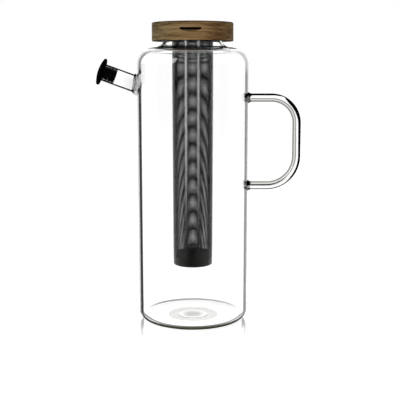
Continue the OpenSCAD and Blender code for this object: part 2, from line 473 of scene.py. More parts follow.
@dataclass(frozen=True)
class GlassFinish:
    """Clear borosilicate glass."""

    name: str = "clear_glass"
    ior: float = 1.47
    clear: Colour = grey(1.0)
    shadow: Colour = grey(0.92)

    def hide_seam(self, tree: Tree, tint: Socket, ior: Socket) -> tuple[Socket, Socket]:
        """Leave out the faces where glass is fused to glass.

        Args:
            tree: The node tree.
            tint: The glass's tint.
            ior: Its index of refraction.

        Returns:
            Both, with a clear tint and an index of 1 on those faces.
        """
        seam = tree.attribute("fused_seam")
        bend = tree.times(tree.less(ior, 1.0), tree.less(1.0, seam))
        return tree.mix(seam, tint, self.clear), tree.plus(bend, 1.0)

    def pour(self, tree: Tree, tint: Socket, ior: Socket | float) -> Material:
        """Add the glass itself, through which lamps shine with a pale shadow.

        Args:
            tree: The node tree.
            tint: The glass's tint.
            ior: Its index of refraction.

        Returns:
            The finished material.
        """
        glass = tree.read("BsdfGlass", 0, {"Color": tint, "Roughness": 0.0, "IOR": ior})
        pale = tree.read("BsdfTransparent", 0, {"Color": self.shadow})
        return tree.finish("MixShader", {0: tree.read("LightPath", "Is Shadow Ray"), 1: glass, 2: pale})


@dataclass(frozen=True)
class BodyFinish(GlassFinish):
    """The body's glass, with painted shade where it would show the dark sides of the room.

    A line's stops are shares of a round face's radius at which a ray passes the axis, with the line's
    strength there. Its near one is at the left, its far one at the right. Heights are in metres.
    """

    neck_ior: float = 1.12
    far_neck_ior: float = 1.03
    # Painted shade: the colours of the dark lines along the body's edges, met from the glass and from the
    # air, near and far.
    edge: Colour = grey(0.004)
    far_edge: Colour = (0.27, 0.275, 0.27, 1.0)
    gloss_edge: Colour = grey(0.16)
    far_gloss_edge: Colour = (0.62, 0.63, 0.62, 1.0)
    # Painted shade: a pale grey veil where the inner face is met at a grazing angle.
    painted_veil: Colour = (0.66, 0.68, 0.66, 1.0)
    # Painted shade: the olive band round the foot, near and far.
    foot: Colour = (0.055, 0.058, 0.034, 1.0)
    far_foot: Colour = (0.085, 0.087, 0.06, 1.0)
    # Painted shade: the dark arc of the base's inner corner, seen from inside, near and far.
    corner: Colour = (0.2, 0.2, 0.21, 1.0)
    far_corner: Colour = (0.4, 0.4, 0.41, 1.0)
    # Painted shade: the black band on the crown of the shoulder, seen at grazing angles.
    crown: Colour = grey(0.002)
    # Painted shade: the pale olive tone of the pressed rings, darker along an arc at the front.
    ring: Colour = (0.38, 0.385, 0.345, 1.0)
    half_width: float = 50.0 * MM
    full_height: float = 275.0 * MM
    # Where the painted dark lines lie, and how strong they are up the body.
    inner_lines: tuple[Stops, Stops] = (
        ((0.958, 0.0), (0.972, 1.0), (1.01, 1.0), (1.022, 0.3), (1.05, 0.03)),
        ((0.98, 0.0), (0.992, 1.0), (1.012, 1.0), (1.03, 0.6), (1.05, 0.3)),
    )
    outer_lines: tuple[Stops, Stops] = (
        ((0.93, 0.0), (0.938, 1.0), (0.964, 1.0), (0.974, 0.3), (0.999, 0.14)),
        ((0.945, 0.0), (0.955, 1.0), (0.985, 1.0), (0.999, 0.5)),
    )
    painted_veil_line: Point = (0.955, 0.995)
    corner_fade: Stops = ((0.3, 1.0), (0.62, 0.0))
    crown_fade: Stops = ((0.66, 0.0), (0.82, 1.0))
    line_heights: Stops = (
        (0.236, 1.0), (0.243, 0.6), (0.254, 0.5), (0.2588, 0.15), (0.2598, 1.0), (0.2622, 1.0), (0.266, 0.75),
    )
    neck_start: Point = (257.5 * MM, 259.0 * MM)
    neck_right: Point = (-4.0 * MM, 20.0 * MM)
    neck_loss: float = 0.8
    root_heights: Stops = ((0.2225, 0.0), (0.2245, 0.85), (0.2355, 0.85), (0.2375, 0.0))
    root_left: Point = (-30.0 * MM, -40.0 * MM)

    def material(self) -> Material:
        """Build the material of the hollow body.

        Returns:
            The material.
        """
        tree = Tree(bpy.data.materials.new(self.name))
        within, axes = tree.within(), tree.split(tree.place())
        side = tree.span(axes["X"], -self.half_width, self.half_width)
        strength = self.strength(tree, axes)
        inner = tree.mix(within, self.inner_from_air(tree, side), self.inner_from_glass(tree, side, strength))
        outer = tree.mix(within, self.outer_from_air(tree, side, strength), self.clear)
        tint = tree.mix(tree.attribute("glass_skin"), outer, inner)
        in_neck, right = self.neck_share(tree, axes)
        neck_ior = tree.plus(self.neck_ior, tree.times(right, self.far_neck_ior - self.neck_ior))
        ior = tree.plus(self.ior, tree.times(in_neck, tree.less(neck_ior, self.ior)))
        return self.pour(tree, *self.hide_seam(tree, tint, ior))

    def neck_share(self, tree: Tree, axes: Listing) -> tuple[Socket, Socket]:
        """Whether a point is in the neck, and whether it is right of its middle."""
        return tree.span(axes["Z"], *self.neck_start), tree.span(axes["X"], *self.neck_right)

    def strength(self, tree: Tree, axes: Listing) -> Socket:
        """How strong the painted dark lines are: weak above the shoulder, and on the neck and the spout's
        root.

        Args:
            tree: The node tree.
            axes: The place's X, Y and Z.

        Returns:
            The strength's socket.
        """
        level = tree.along(axes["Z"], 0.0, self.full_height, self.line_heights)
        level = tree.times(level, tree.less(1.0, tree.times(*self.neck_share(tree, axes), self.neck_loss)))
        root = tree.along(axes["Z"], 0.0, self.full_height, self.root_heights)
        return tree.times(level, tree.less(1.0, tree.times(root, tree.span(axes["X"], *self.root_left))))

    def edge_line(
        self,
        tree: Tree,
        side: Socket,
        strength: Socket,
        ior: float,
        lines: tuple[Stops, Stops],
        colours: tuple[Colour, Colour],
    ) -> Socket:
        """The painted dark line along each edge of the body, in place of the dark room seen through the
        glass.

        Args:
            tree: The node tree.
            side: 0 at the left, 1 at the right.
            strength: How strong it is.
            ior: The index of what the ray comes from.
            lines: Its near and far stops.
            colours: Its near and far colours.

        Returns:
            The tint's socket.
        """
        facing = tree.facing()
        near, far = ([(turned(share / ior), value) for share, value in stops] for stops in lines)
        line = tree.mix(side, tree.fade(facing, *near), tree.fade(facing, *far))
        return tree.mix(tree.times(line, strength), self.clear, tree.mix(side, *colours))

    def inner_from_glass(self, tree: Tree, side: Socket, strength: Socket) -> Socket:
        """Tint of the inner face met from the glass: the painted dark line inside each edge of the body."""
        return self.edge_line(tree, side, strength, self.ior, self.inner_lines, (self.edge, self.far_edge))

    def inner_from_air(self, tree: Tree, side: Socket) -> Socket:
        """Tint of the inner face met from the space inside, all painted shade: a veil at grazing angles, the
        corner of the base and the pressed rings.

        Args:
            tree: The node tree.
            side: 0 at the left, 1 at the right.

        Returns:
            The tint's socket.
        """
        facing = tree.facing()
        start, end = (turned(share) for share in self.painted_veil_line)
        tint = tree.mix(tree.fade(facing, (start, 0.0), (end, 1.0)), self.clear, self.painted_veil)
        corner = tree.times(tree.attribute("corner_shade"), tree.fade(facing, *self.corner_fade))
        tint = tree.mix(corner, tint, tree.mix(side, self.corner, self.far_corner))
        return tree.mix(tree.attribute("ring_shade"), tint, self.ring)

    def outer_from_air(self, tree: Tree, side: Socket, strength: Socket) -> Socket:
        """Tint of the outer face met from the air, all painted shade: the soft dark edge, a black band on the
        crown and an olive band round the foot.

        Args:
            tree: The node tree.
            side: 0 at the left, 1 at the right.
            strength: How strong the edge is.

        Returns:
            The tint's socket.
        """
        colours = (self.gloss_edge, self.far_gloss_edge)
        tint = self.edge_line(tree, side, strength, 1.0, self.outer_lines, colours)
        grazing = tree.fade(tree.facing(), *self.crown_fade)
        tint = tree.mix(tree.times(tree.attribute("crown_shade"), grazing), tint, self.crown)
        return tree.mix(tree.attribute("foot_shade"), tint, tree.mix(side, self.foot, self.far_foot))


@dataclass(frozen=True)
class BeadFinish(GlassFinish):
    """Glass of the weld bead, with a painted dark line along its outline."""

    name: str = "clear_glass_weld"
    # A clear tint above one is painted light: it brightens what is seen through the bead and the tube.
    clear: Colour = grey(1.068)
    # Painted shade: the dark line along the outline, and where it starts and ends.
    line: Colour = grey(0.012)
    line_start: float = 0.45
    line_end: float = 0.7

    def outline(self, tree: Tree) -> Socket:
        """The colour of clear glass, with the painted dark line where the surface turns away."""
        stops = ((turned(self.line_start), self.clear), (turned(self.line_end), self.line))
        return tree.ramp(tree.facing(), *stops)

    def material(self) -> Material:
        """Build the material."""
        tree = Tree(bpy.data.materials.new(self.name))
        return self.pour(tree, tree.mix(tree.within(), self.outline(tree), self.clear), self.ior)


@dataclass(frozen=True)
class TubeFinish(BeadFinish):
    """Glass of the spout's tube, which bends light little at its root and carries a painted grey shade there.
    """

    name: str = "clear_glass_tube"
    # Painted shade: the grey of the root beside the wall.
    root: Colour = (0.52, 0.53, 0.52, 1.0)
    root_ior: float = 1.1
    line_start: float = 0.8
    line_end: float = 0.84

    def material(self) -> Material:
        """Build the material.

        Returns:
            The material.
        """
        tree = Tree(bpy.data.materials.new(self.name))
        outside = tree.mix(tree.attribute("glass_skin"), self.outline(tree), self.clear)
        root = tree.attribute("root_shade")
        tint = tree.mix(tree.within(), tree.mix(root, outside, self.root), self.clear)
        ior = tree.plus(self.ior, tree.times(root, self.root_ior - self.ior))
        return self.pour(tree, *self.hide_seam(tree, tint, ior))


@dataclass(frozen=True)
class RodFinish(GlassFinish):
    """The solid glass of the handle, with painted shade: a black line on its outer side, two grey ones
    within, and black patches on its pads.
    """

    name: str = "clear_glass_rod"
    # Painted shade: the colours of the rod's dark lines and of the pale veil between them.
    black: Colour = grey(0.002)
    faint: Colour = (0.13, 0.13, 0.125, 1.0)
    thin: Colour = (0.22, 0.22, 0.21, 1.0)
    dark: Colour = (0.03, 0.03, 0.028, 1.0)
    pale: Colour = (0.25, 0.25, 0.24, 1.0)
    veil: Colour = (0.66, 0.665, 0.64, 1.0)
    line_edge: Point = (-0.03, 0.04)
    outer_half: Point = (-0.08, 0.02)
    weak_start: Point = (0.02, 0.08)
    strong_start: Point = (0.08, 0.14)
    inner_places: tuple[float, ...] = (0.26, 0.34, 0.56, 0.66, 0.9, 0.98)

    def inner_side(self, tree: Tree, share: Socket, start: Point, line: Colour) -> Socket:
        """The painted lines on the side of the rod that faces into the loop.

        Args:
            tree: The node tree.
            share: How far from the rod's middle the ray passes.
            start: Where the middle line begins, and where it has its whole colour.
            line: Its colour.

        Returns:
            The tint's socket.
        """
        colours = (self.clear, line, line, self.veil, self.veil, self.pale, self.pale, self.veil)
        return tree.ramp(share, *zip(start + self.inner_places, colours))

    def material(self) -> Material:
        """Build the material of the solid rod.

        Returns:
            The material.
        """
        tree = Tree(bpy.data.materials.new(self.name))
        ahead = tree.less(1.0, tree.facing())
        share = tree.maths("SQRT", tree.less(1.0, tree.times(ahead, ahead)), clamped=True)
        strength = tree.attribute("rod_strength")
        past = tree.span(tree.less(share, tree.attribute("rod_start")), *self.line_edge)
        outward = tree.mix(past, self.clear, tree.mix(strength, self.faint, self.black))
        weak = self.inner_side(tree, share, self.weak_start, self.dark)
        strong = self.inner_side(tree, share, self.strong_start, self.thin)
        outer_half = tree.span(tree.attribute("rod_side"), *self.outer_half)
        lines = tree.mix(outer_half, tree.mix(strength, weak, strong), outward)
        # Painted shade: black patches on the flared pads.
        lines = tree.mix(tree.attribute("rod_pad"), lines, self.black)
        return self.pour(tree, tree.mix(tree.within(), lines, self.clear), self.ior)


@dataclass(frozen=True)
class WoodFinish:
    """Oiled brown hardwood with a fine grain along X. Its tone runs greyer and a little darker at the left
    end, brighter right of the middle and darker at the right end, where the darkening is painted shade; the
    underside, the recess and the top edge carry painted shade, and the lower edge a painted highlight.

    Places in the stops of its hollows are in metres of radius or height.
    """

    name: str = "oiled_wood"
    light: Colour = (0.2, 0.128, 0.055, 1.0)
    mid: Colour = (0.135, 0.08, 0.03, 1.0)
    dark: Colour = (0.065, 0.034, 0.012, 1.0)
    # Tone across X: greyer and a little darker at the left end, brighter right of the middle, and darker at
    # the right end, where painted shade stands in for the light falling off.
    left_end_tone: Colour = (0.63, 0.79, 0.86, 1.0)
    middle: Colour = (0.88, 0.93, 1.0, 1.0)
    right_middle_tone: Colour = (1.14, 1.12, 1.2, 1.0)
    painted_right_end_shade: Colour = (0.8, 0.74, 0.68, 1.0)
    # Painted shade on the faces that turn downwards.
    shade: Colour = (0.02, 0.015, 0.01, 1.0)
    # Painted shade inside the finger recess and the pocket.
    painted_recess_shade: Colour = (0.002, 0.0015, 0.001, 1.0)
    half_width: float = 38.0 * MM
    low: float = 266.5 * MM
    high: float = 283.8 * MM
    layer_shares: Triple = (0.04, 0.42, 0.54)
    tone_places: Triple = (0.38, 0.5, 0.62)
    tone_across_places: tuple[float, ...] = (0.1, 0.45, 0.74, 0.97)
    broad_grain: Triple = (12.0, 55.0, 230.0)
    fine_grain: Triple = (26.0, 90.0, 620.0)
    pore_grain: Triple = (160.0, 1500.0, 3600.0)
    wander_grain: Triple = (30.0, 60.0, 120.0)
    broad_detail: float = 4.0
    pore_detail: float = 2.0
    wander: float = 20.0 * MM
    pore_depth: Stops = ((0.6, 1.0), (0.7, 0.5))
    underside: Point = (-0.35, -0.8)
    # A painted highlight just above the lower edge, and painted shade at the very bottom and along the top
    # edge, as multipliers up the height.
    edges: Stops = ((0.02, 0.8), (0.04, 1.35), (0.075, 1.3), (0.11, 1.0), (0.92, 1.0), (0.96, 0.35))
    hollow_reach: Point = (0.0, 0.04)
    hollow_radii: Stops = ((0.034, 0.99), (0.035, 0.6), (0.0372, 0.0))
    hollow_rise: Point = (0.27, 0.28)
    hollow_heights: Stops = ((0.2758, 0.4), (0.2763, 1.0), (0.279, 1.0), (0.2795, 0.0))
    pith: Triple = (0.0, 0.09, -0.2)
    ring_drawn: Triple = (0.1, 1.0, 1.0)
    relief: Point = (0.3, 0.1 * MM)
    roughness: float = 0.65
    gloss: float = 0.06

    def material(self) -> Material:
        """Build the material.

        Returns:
            The material.
        """
        tree = Tree(bpy.data.materials.new(self.name))
        place = tree.place()
        axes = tree.split(place)
        broad = tree.noise(place, self.broad_grain, self.broad_detail)
        fine = tree.noise(place, self.fine_grain)
        layers = zip((self.rings(tree, place), broad, fine), self.layer_shares)
        blend = tree.plus(*(tree.times(layer, share) for layer, share in layers))
        colour = tree.ramp(blend, *zip(self.tone_places, (self.dark, self.mid, self.light)))
        wander = tree.times(tree.noise(place, self.wander_grain), self.wander)
        share = tree.span(tree.plus(axes["X"], wander), -self.half_width, self.half_width)
        tone_across = zip(self.tone_across_places, (self.left_end_tone, self.middle, self.right_middle_tone, self.painted_right_end_shade))
        colour = tree.mix(1.0, colour, tree.ramp(share, *tone_across), "MULTIPLY")
        pores = tree.noise(place, self.pore_grain, self.pore_detail)
        colour = tree.mix(1.0, colour, tree.fade(pores, *self.pore_depth), "MULTIPLY")
        # Painted shade on the faces that turn downwards.
        normal = tree.split(tree.read("NewGeometry", "Normal"))
        colour = tree.mix(tree.span(normal["Z"], *self.underside), colour, self.shade)
        # A painted highlight just above the lower edge, and painted shade at the very bottom and along the
        # top edge.
        edges = tree.fade(tree.span(axes["Z"], self.low, self.high), *self.edges)
        colour = tree.mix(1.0, colour, edges, "MULTIPLY")
        inputs = {
            # Painted shade inside the finger recess and the pocket.
            "Base Color": tree.mix(self.hollow(tree, axes), colour, self.painted_recess_shade),
            "Roughness": self.roughness,
            "Specular IOR Level": self.gloss,
            "Normal": tree.bump(tree.plus(pores, fine), *self.relief),
        }
        return tree.finish("BsdfPrincipled", inputs)

    def hollow(self, tree: Tree, axes: Listing) -> Socket:
        """How deep a point lies inside the finger recess or the pocket, which take painted shade.

        Args:
            tree: The node tree.
            axes: The place's X, Y and Z.

        Returns:
            The share of the dark colour.
        """
        radius = tree.length(tree.read("CombineXYZ", "Vector", {"X": axes["X"], "Y": axes["Y"]}))
        deep = tree.along(radius, *self.hollow_reach, self.hollow_radii)
        return tree.times(deep, tree.along(axes["Z"], *self.hollow_rise, self.hollow_heights))

    def rings(self, tree: Tree, place: Socket) -> Socket:
        """Growth rings round a pith that runs along X, low behind the cap.

        Args:
            tree: The node tree.
            place: The place's socket.

        Returns:
            The rings' socket.
        """
        drawn = {"Vector": place, "Location": self.pith, "Scale": self.ring_drawn}
        inputs = {"Scale": 110.0, "Distortion": 3.5, "Detail": 3.0, "Detail Scale": 1.2}
        inputs["Vector"] = tree.read("Mapping", "Vector", drawn)
        return tree.read("TexWave", "Fac", inputs, wave_type="RINGS", rings_direction="X")


@dataclass(frozen=True)
class SteelFinish:
    """Stainless sheet, brushed round the axis."""

    name: str
    colour: Colour
    roughness: float
    brush: Triple = (60.0, 60.0, 2600.0)
    rough_range: Point = (0.8, 1.25)
    valley: Colour = grey(0.01)
    valley_share: float = 0.35
    relief: Point = (0.08, 0.05 * MM)

    def material(self) -> Material:
        """Build the material.

        Returns:
            The material.
        """
        tree = Tree(bpy.data.materials.new(self.name))
        lines = tree.noise(tree.place(), self.brush)
        inputs = {
            "Base Color": tree.mix(tree.times(lines, self.valley_share), self.colour, self.valley),
            "Metallic": 1.0,
            "Roughness": tree.span(lines, 0.0, 1.0, *(self.roughness * share for share in self.rough_range)),
            "Normal": tree.bump(lines, *self.relief),
        }
        return tree.finish("BsdfPrincipled", inputs)


@dataclass(frozen=True)
class SiliconeFinish:
    """Moulded silicone rubber."""

    name: str
    colour: Colour
    roughness: float = 0.5
    transmission: float = 0.0
    gloss: float = 0.5
    rough_range: Point = (0.85, 1.15)
    grain: Triple = (3500.0, 3500.0, 3500.0)
    grain_detail: float = 2.0
    dust: Triple = (180.0, 180.0, 180.0)
    dust_share: float = 0.2
    dust_light: float = 1.6
    relief: Point = (0.1, 0.03 * MM)

    def material(self) -> Material:
        """Build the material.

        Returns:
            The material.
        """
        tree = Tree(bpy.data.materials.new(self.name))
        place = tree.place()
        dust = tree.noise(place, self.dust)
        dusty = grey(self.colour[0] * self.dust_light)
        inputs = {
            "Base Color": tree.mix(tree.times(dust, self.dust_share), self.colour, dusty),
            "Roughness": tree.span(dust, 0.0, 1.0, *(self.roughness * share for share in self.rough_range)),
            "Specular IOR Level": self.gloss,
            "Transmission Weight": self.transmission,
            "Normal": tree.bump(tree.noise(place, self.grain, self.grain_detail), *self.relief),
        }
        return tree.finish("BsdfPrincipled", inputs)


@dataclass
class Spout:
    """The glass tube that slopes up out of the wall, with its flared root and polished lip."""

    name: str = "spout_glass"
    radius: float = 8.0 * MM
    wall: float = 1.7 * MM
    length: float = 34.0 * MM
    flare_width: float = 1.8 * MM
    flare_length: float = 3.4 * MM
    tail: float = 8.0 * MM
    body_radius: float = BODY_RADIUS
    height: float = 226.3 * MM
    tilt: float = math.radians(20.0)
    sunk: float = 1.9 * MM
    end_normal: float = 0.99
    root_reach: float = 3.3 * MM
    root_lean: float = 0.12
    root_fade: float = 0.8 * MM
    support: float = 1.0 * MM
    support_rings: int = 6
    flare_steps: int = 8
    lip_steps: int = 10
    turn_steps: int = 96
    bead_name: str = "spout_weld"
    bead_radius: float = 8.4 * MM
    bead_size: float = 0.9 * MM
    bead_rise: float = 2.7 * MM
    bead_turn: float = math.radians(-13.0)
    bead_sides: int = 20

    def axis(self) -> Matrix:
        """The frame whose +Z runs out along the spout, from where its axis meets the body."""
        turn = Matrix.Rotation(self.tilt - math.pi / 2, 4, "Y")
        return Matrix.Translation((-self.body_radius, 0.0, self.height)) @ turn

    def build(self, material: Material) -> Piece:
        """Spin the tube, trim its root inside the wall and dress it.

        Args:
            material: The glass.

        Returns:
            The piece.
        """
        bore = self.radius - self.wall
        sweep = sweep_radius(self.flare_width, self.flare_length)
        turn = math.degrees(math.asin(self.flare_length / sweep))
        half = self.wall / 2
        outline = [(bore, -self.tail), (self.radius + self.flare_width, -self.tail)]
        outline += arc((self.radius + sweep, self.flare_length), sweep, 180 + turn, 180, self.flare_steps)
        rings = range(1, self.support_rings + 1)
        outline += [(self.radius, self.flare_length + step * self.support) for step in rings]
        outline += [(self.radius, self.length - half - self.support)]
        outline += arc((self.radius - half, self.length - half), half, 0, 180, self.lip_steps)
        outline += [(bore, self.length - half - self.support), (bore, -self.tail)]
        piece = Bench.lathe(self.name, outline, self.turn_steps)
        Bench.place(piece, self.axis())
        self.trim(piece)
        self.mark(piece)
        return Bench.finish(piece, material)

    def build_bead(self, material: Material) -> Piece:
        """Model the bead of glass that welds the tube to the wall.

        Args:
            material: The glass.

        Returns:
            The piece.
        """
        Bench.clear_selection()
        bpy.ops.mesh.primitive_torus_add(
            major_radius=self.bead_radius,
            minor_radius=self.bead_size,
            major_segments=self.turn_steps,
            minor_segments=self.bead_sides,
        )
        bead = Bench.take(self.bead_name)
        up = Matrix.Translation((0, 0, self.bead_rise)) @ Matrix.Rotation(self.bead_turn, 4, "Y")
        Bench.place(bead, self.axis() @ up)
        return Bench.finish(bead, material)

    def trim(self, piece: Piece) -> None:
        """Cut the root off flat inside the thickness of the wall.

        Args:
            piece: The tube.
        """
        Bench.open_mesh(piece)
        place = (self.sunk - self.body_radius, 0, 0)
        bpy.ops.mesh.bisect(plane_co=place, plane_no=(1, 0, 0), use_fill=True, clear_outer=True)
        Bench.close_mesh()

    def mark(self, piece: Piece) -> None:
        """Write the attributes of the bore, of the end that is fused to the body, and of the painted shade at
        the root.

        Args:
            piece: The tube.
        """
        back = self.axis().inverted()
        turn = back.to_3x3()
        skin, seam = Bench.values(piece, Domain.FACE, "glass_skin", "fused_seam")
        for polygon in piece.data.polygons:
            centre, normal = back @ polygon.center, turn @ polygon.normal
            inward = Skin.turns_inward(centre, normal)
            skin[polygon.index].value = (Skin.INNER if inward else Skin.OUTER).value
            seam[polygon.index].value = float(polygon.normal.x > self.end_normal)
        (root,) = Bench.values(piece, Domain.POINT, "root_shade")
        for vertex in piece.data.vertices:
            off = -self.body_radius - vertex.co.x
            edge = self.root_reach - self.root_lean * (vertex.co.z - self.height)
            root[vertex.index].value = clamp((edge - off) / self.root_fade)


@dataclass
class GlassBody:
    """The blown glass body: floor, wall, shoulder, neck and rim.

    Places in the stops are in millimetres of height or radius, and in degrees for the corner.
    """

    spout: Spout
    name: str = "glass_shell"
    radius: float = BODY_RADIUS
    wall: float = 2.3 * MM
    floor: float = 2.8 * MM
    base_corner: float = 10.0 * MM
    shoulder_top: float = 260.8 * MM
    shoulder: float = 16.0 * MM
    neck: float = 26.4 * MM
    rim: float = 274.5 * MM
    spout_hole: float = 7.15 * MM
    hole_depth: float = 40.0 * MM
    hole_reach: float = 10.0 * MM
    hole_slack: float = 0.05 * MM
    level_normal: float = 0.5
    support: float = 1.5 * MM
    rings: Triple = (6.8 * MM, 14.4 * MM, 23.4 * MM)
    ring_width: float = 2.4 * MM
    ring_height: float = 0.02 * MM
    ring_steps: int = 6
    # Stops of the painted shade on the crown, the foot, the inner corner of the base and the pressed rings.
    crown_heights: Stops = ((259.0, 0.0), (259.6, 1.0), (261.8, 1.0), (262.6, 0.0))
    crown_reach: Stops = ((41.0, 1.0), (43.0, 0.0))
    crown_width: Stops = ((35.5, 1.0), (38.0, 0.0))
    foot_shades: Stops = ((0.02, 0.0), (0.5, 1.0), (4.4, 1.0), (6.6, 0.0))
    corner_shades: Stops = ((28.0, 0.0), (34.0, 1.0), (43.0, 1.0), (51.0, 0.0))
    ring_shades: Stops = (
        (0.0, 0.65), (6.4, 0.65), (8.0, 0.45), (13.2, 0.05), (14.0, 0.35), (15.2, 0.38), (22.2, 0.4),
        (23.2, 0.55), (24.6, 0.0),
    )
    arc_shade: Stops = ((13.2, 0.0), (13.6, 1.0), (14.8, 1.0), (15.2, 0.0))
    foot_slack: float = 0.5 * MM
    skin_slack: float = 0.2 * MM
    corner_steps: int = 30
    shoulder_steps: int = 22
    neck_steps: int = 16
    lip_steps: int = 12
    drill_sides: int = 64
    turn_steps: int = 192

    def skin(self, inset: float, bottom: float, corner: float) -> list[Point]:
        """Half section of the outer face, or of the inner one with an inset.

        Args:
            inset: Distance from the outer face.
            bottom: Height of the flat below.
            corner: Radius of the edge between that flat and the wall.

        Returns:
            The points from the axis at the bottom up to the neck.
        """
        radius = self.radius - inset
        middle = self.radius - self.shoulder
        straight_top = self.shoulder_top - self.shoulder
        flare = middle - self.neck
        points = [(0.0, bottom), (radius - corner - self.support, bottom)]
        points += arc((radius - corner, bottom + corner), corner, -90, 0, self.corner_steps)
        points += [(radius, bottom + corner + self.support), (radius, straight_top - self.support)]
        points += arc((middle, straight_top), self.shoulder - inset, 0, 90, self.shoulder_steps)
        neck = arc((middle, self.shoulder_top + flare), flare + inset, -90, -180, self.neck_steps)
        return points + neck[1:]

    def build(self, material: Material) -> Piece:
        """Spin the shell, open the spout's hole and dress it.

        Args:
            material: The glass.

        Returns:
            The piece.
        """
        outside = self.skin(0.0, 0.0, self.base_corner)
        inside = self.skin(self.wall, self.floor, self.base_corner - self.wall)
        inside[1:1] = self.ring_points()
        half = self.wall / 2
        lip = arc((self.neck - half, self.rim - half), half, 0, 180, self.lip_steps)
        piece = Bench.lathe(self.name, outside + lip + inside[::-1], self.turn_steps)
        self.open_spout_hole(piece)
        self.mark_skins(piece)
        self.mark_shades(piece)
        return Bench.finish(piece, material)

    def ring_points(self) -> list[Point]:
        """Half section of the low rings pressed into the floor.

        Returns:
            The points from the axis outwards.
        """
        points = []
        for middle in self.rings:
            for step in range(self.ring_steps + 1):
                share = step / self.ring_steps
                rise = self.ring_height * math.sin(math.pi * share)
                points.append((middle + (share - 0.5) * self.ring_width, self.floor + rise))
        return points

    def open_spout_hole(self, piece: Piece) -> None:
        """Cut the hole that the spout is fused into.

        Args:
            piece: The shell.
        """
        Bench.clear_selection()
        bpy.ops.mesh.primitive_cylinder_add(
            vertices=self.drill_sides, radius=self.spout_hole, depth=self.hole_depth
        )
        cutter = Bench.take("spout_drill")
        Bench.place(cutter, self.spout.axis())
        Bench.pick(piece)
        Bench.modify(piece, "BOOLEAN", operation="DIFFERENCE", solver="EXACT", object=cutter)
        bpy.data.objects.remove(cutter, do_unlink=True)

    def mark_skins(self, piece: Piece) -> None:
        """Write the attributes of the inner face, and of the wall of the hole, which is fused to the spout.

        Args:
            piece: The shell.
        """
        skin, seam = Bench.values(piece, Domain.FACE, "glass_skin", "fused_seam")
        back = self.spout.axis().inverted()
        reach = self.spout_hole + self.hole_slack
        for polygon in piece.data.polygons:
            centre, normal = polygon.center, polygon.normal
            off = back @ centre
            in_hole = centre.x < 0 and math.hypot(off.x, off.y) < reach and abs(off.z) < self.hole_reach
            seam[polygon.index].value = float(in_hole)
            floor = normal.z > self.level_normal and centre.z < self.base_corner
            roof = normal.z < -self.level_normal and centre.z > self.base_corner
            inner = Skin.turns_inward(centre, normal) or floor or roof
            skin[polygon.index].value = (Skin.INNER if inner else Skin.OUTER).value

    def mark_shades(self, piece: Piece) -> None:
        """Write the attributes of the painted shade on the crown, the foot, the inner corner of the base and
        the pressed rings.

        Args:
            piece: The shell.
        """
        names = ("foot_shade", "corner_shade", "ring_shade", "crown_shade")
        foot, corner, ring, crown = Bench.values(piece, Domain.POINT, *names)
        inner_corner = self.base_corner - self.wall
        middle = (self.radius - self.base_corner, self.floor + inner_corner)
        for vertex in piece.data.vertices:
            index, (x, y, height) = vertex.index, vertex.co
            radius = math.hypot(x, y)
            on_crown = between(height / MM, self.crown_heights) * between(radius / MM, self.crown_reach)
            crown[index].value = on_crown * between(abs(x) / MM, self.crown_width)
            if radius > middle[0] - self.foot_slack:
                foot[index].value = between(height / MM, self.foot_shades)
                off = math.hypot(radius - middle[0], height - middle[1])
                turn = math.degrees(math.atan2(radius - middle[0], middle[1] - height))
                if abs(off - inner_corner) < self.skin_slack:
                    corner[index].value = between(turn, self.corner_shades)
            elif height > self.floor - self.skin_slack:
                front = max(0.0, -y / max(radius, MM)) * between(radius / MM, self.arc_shade)
                ring[index].value = between(radius / MM, self.ring_shades) + front


